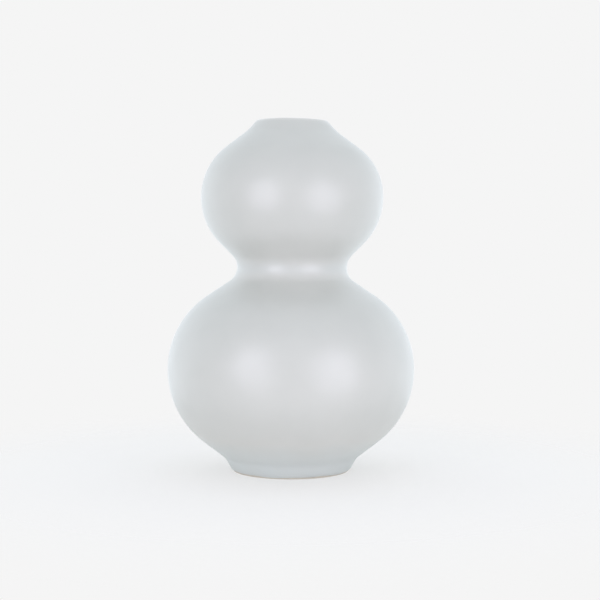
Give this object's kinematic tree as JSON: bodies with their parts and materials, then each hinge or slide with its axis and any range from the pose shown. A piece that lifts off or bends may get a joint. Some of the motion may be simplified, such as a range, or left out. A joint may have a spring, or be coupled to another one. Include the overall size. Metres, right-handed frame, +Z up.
{
  "type": "double gourd vase",
  "caption": "Porcelain vase of double gourd shape, a small bulb over a large one, with a narrow round mouth for flower stems, a ring foot and a satin glaze.",
  "frame": {"origin": "centre of the foot ring, on the surface that the vase stands on", "axes": "+Z up along the vase's axis, from foot to mouth; -Y faces the picture's camera"},
  "size_m": [0.1268, 0.1268, 0.18],
  "materials": {
    "biscuit_porcelain": "unglazed, fine grained",
    "luting_slip": "unglazed, fine grained",
    "satin_glaze": "satin, pale celadon white"
  },
  "bodies": {
    "root": {"foot_ring": "biscuit_porcelain", "belly_lower_half": "biscuit_porcelain", "belly_upper_half": "biscuit_porcelain", "crown_lower_half": "biscuit_porcelain", "crown_upper_half": "biscuit_porcelain", "foot_seam_slip": "luting_slip", "belly_seam_slip": "luting_slip", "waist_seam_slip": "luting_slip", "crown_seam_slip": "luting_slip", "outer_glaze": "satin_glaze", "inner_glaze": "satin_glaze", "base_glaze": "satin_glaze"}
  },
  "joints": []
}
